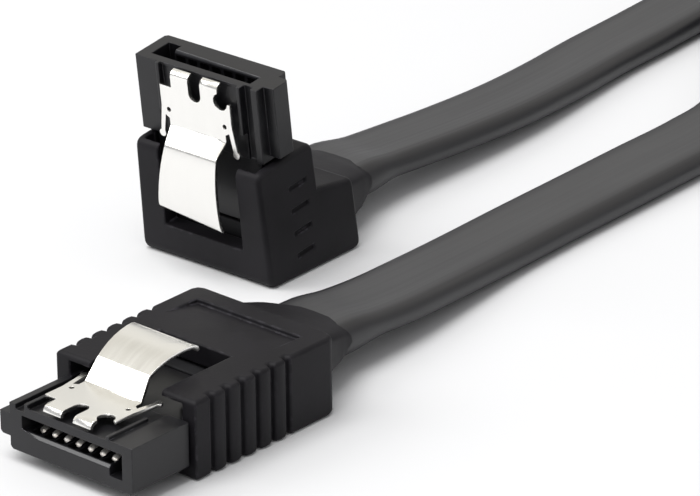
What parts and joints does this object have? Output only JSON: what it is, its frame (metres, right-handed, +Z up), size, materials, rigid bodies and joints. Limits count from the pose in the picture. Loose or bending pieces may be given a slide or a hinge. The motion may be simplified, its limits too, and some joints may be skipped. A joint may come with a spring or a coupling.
{
  "type": "serial data cable",
  "caption": "Flat serial data cable with a straight latching plug at one end and a right-angle latching plug at the other, its spare length coiled in a strap.",
  "frame": {"origin": "middle of the two plugs' footprint on the bench, with the cable left out", "axes": "+Z up from the bench; the straight plug lies flat and its nose points along -Y; the right-angle plug stands with its nose up and its cable leaves along +Y; +X is to the right of the straight plug"},
  "size_m": [0.0703, 0.164, 0.0181],
  "materials": {
    "insert_plastic": "dense black plastic with a low satin sheen",
    "boot_plastic": "satin charcoal plastic, lightly textured",
    "inner_mould": "dull black plastic",
    "latch_steel": "bright rolled spring steel",
    "contact_plating": "bright gold plating",
    "cable_jacket": "satin black extruded jacket",
    "strap_fabric": "black woven strap"
  },
  "bodies": {
    "cable": {"straight_insert": "insert_plastic", "straight_contact_1": "contact_plating", "straight_contact_2": "contact_plating", "straight_contact_3": "contact_plating", "straight_contact_4": "contact_plating", "straight_contact_5": "contact_plating", "straight_contact_6": "contact_plating", "straight_contact_7": "contact_plating", "straight_inner_mould": "inner_mould", "straight_boot": "boot_plastic", "angle_insert": "insert_plastic", "angle_contact_1": "contact_plating", "angle_contact_2": "contact_plating", "angle_contact_3": "contact_plating", "angle_contact_4": "contact_plating", "angle_contact_5": "contact_plating", "angle_contact_6": "contact_plating", "angle_contact_7": "contact_plating", "angle_inner_mould": "inner_mould", "angle_boot": "boot_plastic", "cable_run_straight": "cable_jacket", "cable_run_angle": "cable_jacket", "cable_coil": "cable_jacket", "coil_strap": "strap_fabric"},
    "straight_latch_body": {"straight_latch": "latch_steel"},
    "angle_latch_body": {"angle_latch": "latch_steel"}
  },
  "joints": [
    {"name": "straight_latch_press", "type": "hinge", "parent": "cable", "child": "straight_latch_body", "pos_m": [0.00946, -0.02593, 0.00515], "axis": [-1, 0, 0], "range_deg": [0, 4], "stiffness_Nm_per_rad": 0.05},
    {"name": "angle_latch_press", "type": "hinge", "parent": "cable", "child": "angle_latch_body", "pos_m": [-0.00948, 0.00906, 0.0171], "axis": [0.9994, 0.0349, 0], "range_deg": [0, 4], "stiffness_Nm_per_rad": 0.05}
  ]
}
